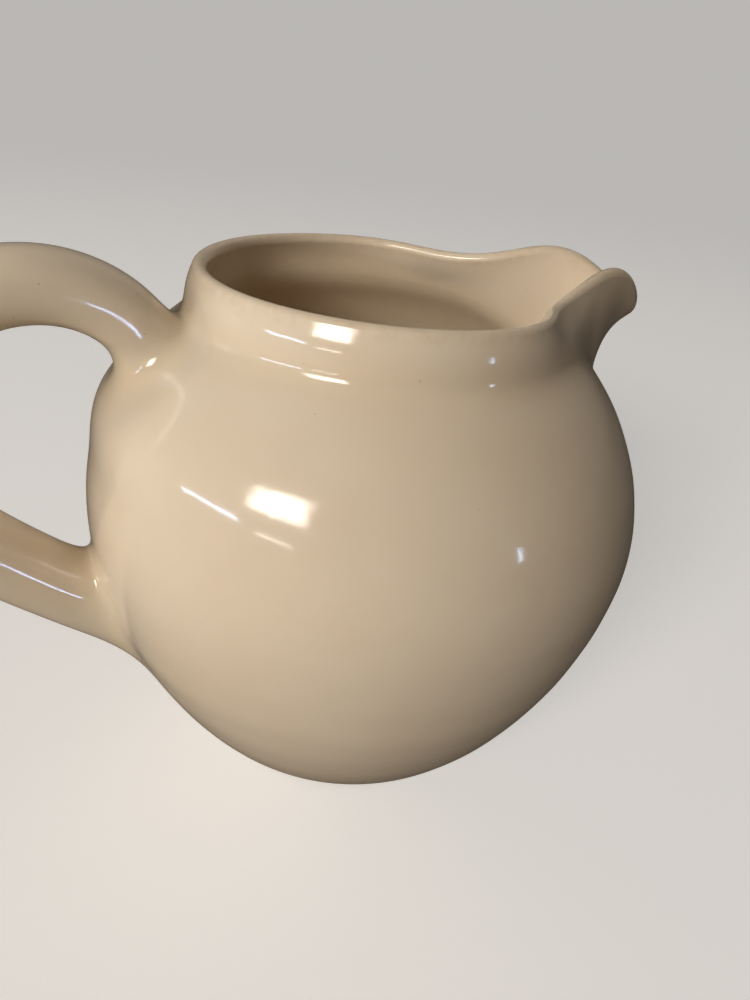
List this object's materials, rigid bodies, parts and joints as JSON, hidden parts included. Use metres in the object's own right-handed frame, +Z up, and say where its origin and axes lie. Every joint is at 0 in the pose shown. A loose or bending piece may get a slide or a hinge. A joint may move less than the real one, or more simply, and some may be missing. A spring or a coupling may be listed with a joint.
{
  "type": "ceramic pitcher",
  "caption": "Round-bellied cream-glazed ceramic pitcher with a short upright collar, a pulled spout drooping at its tip and a thick loop handle opposite it, made of joined clay pieces.",
  "frame": {"origin": "centre of the flat foot, on the surface it stands on", "axes": "+Z up through the mouth, +X towards the spout, -X towards the handle"},
  "size_m": [0.2034, 0.1496, 0.1447],
  "materials": {
    "cream_glaze": "glossy clear glaze over cream clay",
    "bare_foot": "unglazed clay underside"
  },
  "bodies": {
    "root": {"foot_disc": "bare_foot", "belly": "cream_glaze", "collar": "cream_glaze", "spout": "cream_glaze", "handle": "cream_glaze", "upper_handle_pad": "cream_glaze", "lower_handle_pad": "cream_glaze"}
  },
  "joints": []
}
